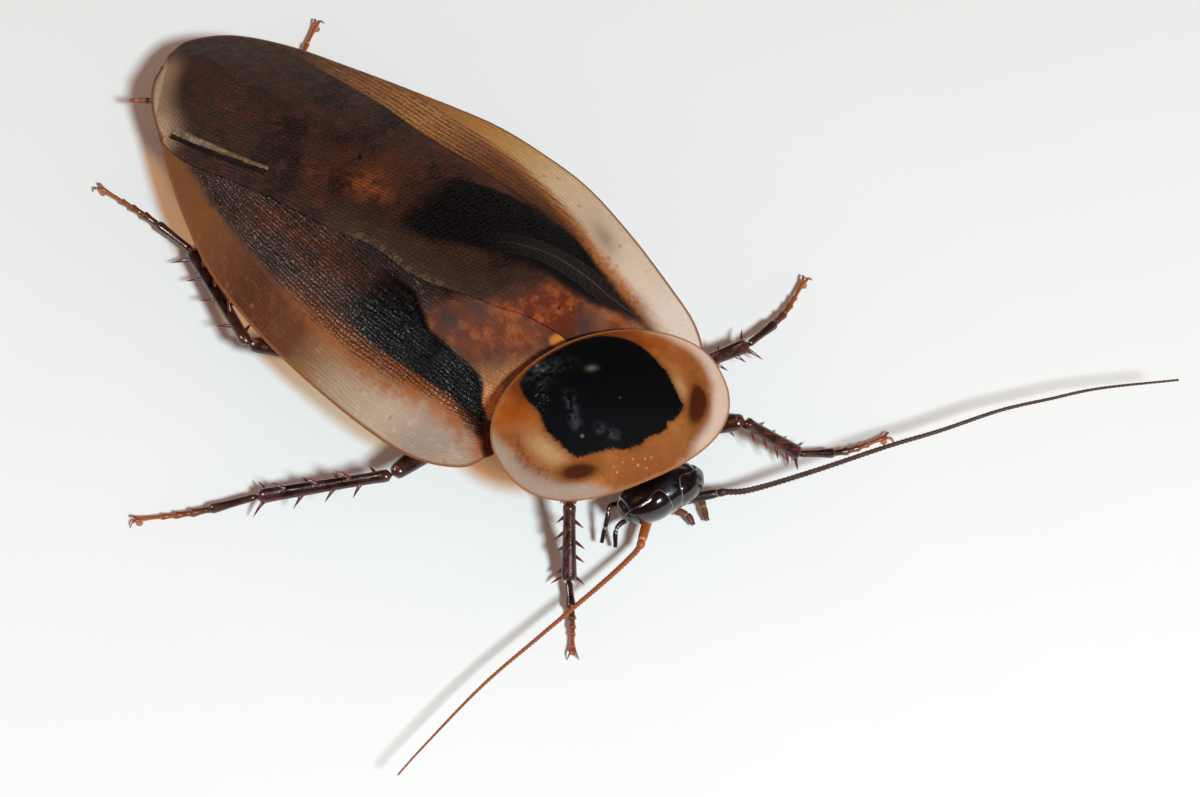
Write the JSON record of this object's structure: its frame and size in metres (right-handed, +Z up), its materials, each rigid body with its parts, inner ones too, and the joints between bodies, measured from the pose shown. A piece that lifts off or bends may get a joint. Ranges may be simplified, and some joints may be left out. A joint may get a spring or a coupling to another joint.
{
  "type": "cockroach model",
  "caption": "Life-size still model of a death's head cockroach, standing, wings folded, feelers spread and a skull-like mark on its shield.",
  "frame": {"origin": "middle of the bounding box at floor level, under the wing cases", "axes": "+Z up; the body's length along Y with the head toward -Y; the animal's own left side toward +X"},
  "size_m": [0.0719, 0.0832, 0.0113],
  "materials": {
    "head_black": "glossy black cuticle",
    "eye_black": "glossy black, faintly brown rim",
    "pronotum_amber": "waxy amber shield, pale translucent border, black blotch",
    "tegmen_brown": "finely veined brown wing case, pale translucent margin",
    "body_brown": "semi-gloss brown cuticle",
    "leg_brown": "glossy dark red-brown cuticle",
    "antenna_brown": "satin brown, orange at the right base",
    "palp_brown": "glossy brown"
  },
  "bodies": {
    "root": {"head": "head_black", "pronotum": "pronotum_amber", "prothorax": "body_brown", "thorax": "body_brown", "abdomen": "body_brown", "tegmen_left": "tegmen_brown", "tegmen_right": "tegmen_brown", "eye_left": "eye_black", "eye_right": "eye_black", "antenna_base_left": "antenna_brown", "antenna_base_right": "antenna_brown", "antenna_left": "antenna_brown", "antenna_right": "antenna_brown", "palp_maxillary_right": "palp_brown", "palp_labial_right": "palp_brown", "palp_maxillary_left": "palp_brown", "palp_labial_left": "palp_brown", "cercus_left": "antenna_brown", "cercus_right": "antenna_brown", "coxa_fore_left": "leg_brown", "femur_fore_left": "leg_brown", "tibia_fore_left": "leg_brown", "tarsus_fore_left": "leg_brown", "coxa_fore_right": "leg_brown", "femur_fore_right": "leg_brown", "tibia_fore_right": "leg_brown", "tarsus_fore_right": "leg_brown", "coxa_middle_left": "leg_brown", "femur_middle_left": "leg_brown", "tibia_middle_left": "leg_brown", "tarsus_middle_left": "leg_brown", "coxa_middle_right": "leg_brown", "femur_middle_right": "leg_brown", "tibia_middle_right": "leg_brown", "tarsus_middle_right": "leg_brown", "coxa_hind_left": "leg_brown", "femur_hind_left": "leg_brown", "tibia_hind_left": "leg_brown", "tarsus_hind_left": "leg_brown", "coxa_hind_right": "leg_brown", "femur_hind_right": "leg_brown", "tibia_hind_right": "leg_brown", "tarsus_hind_right": "leg_brown"}
  },
  "joints": []
}
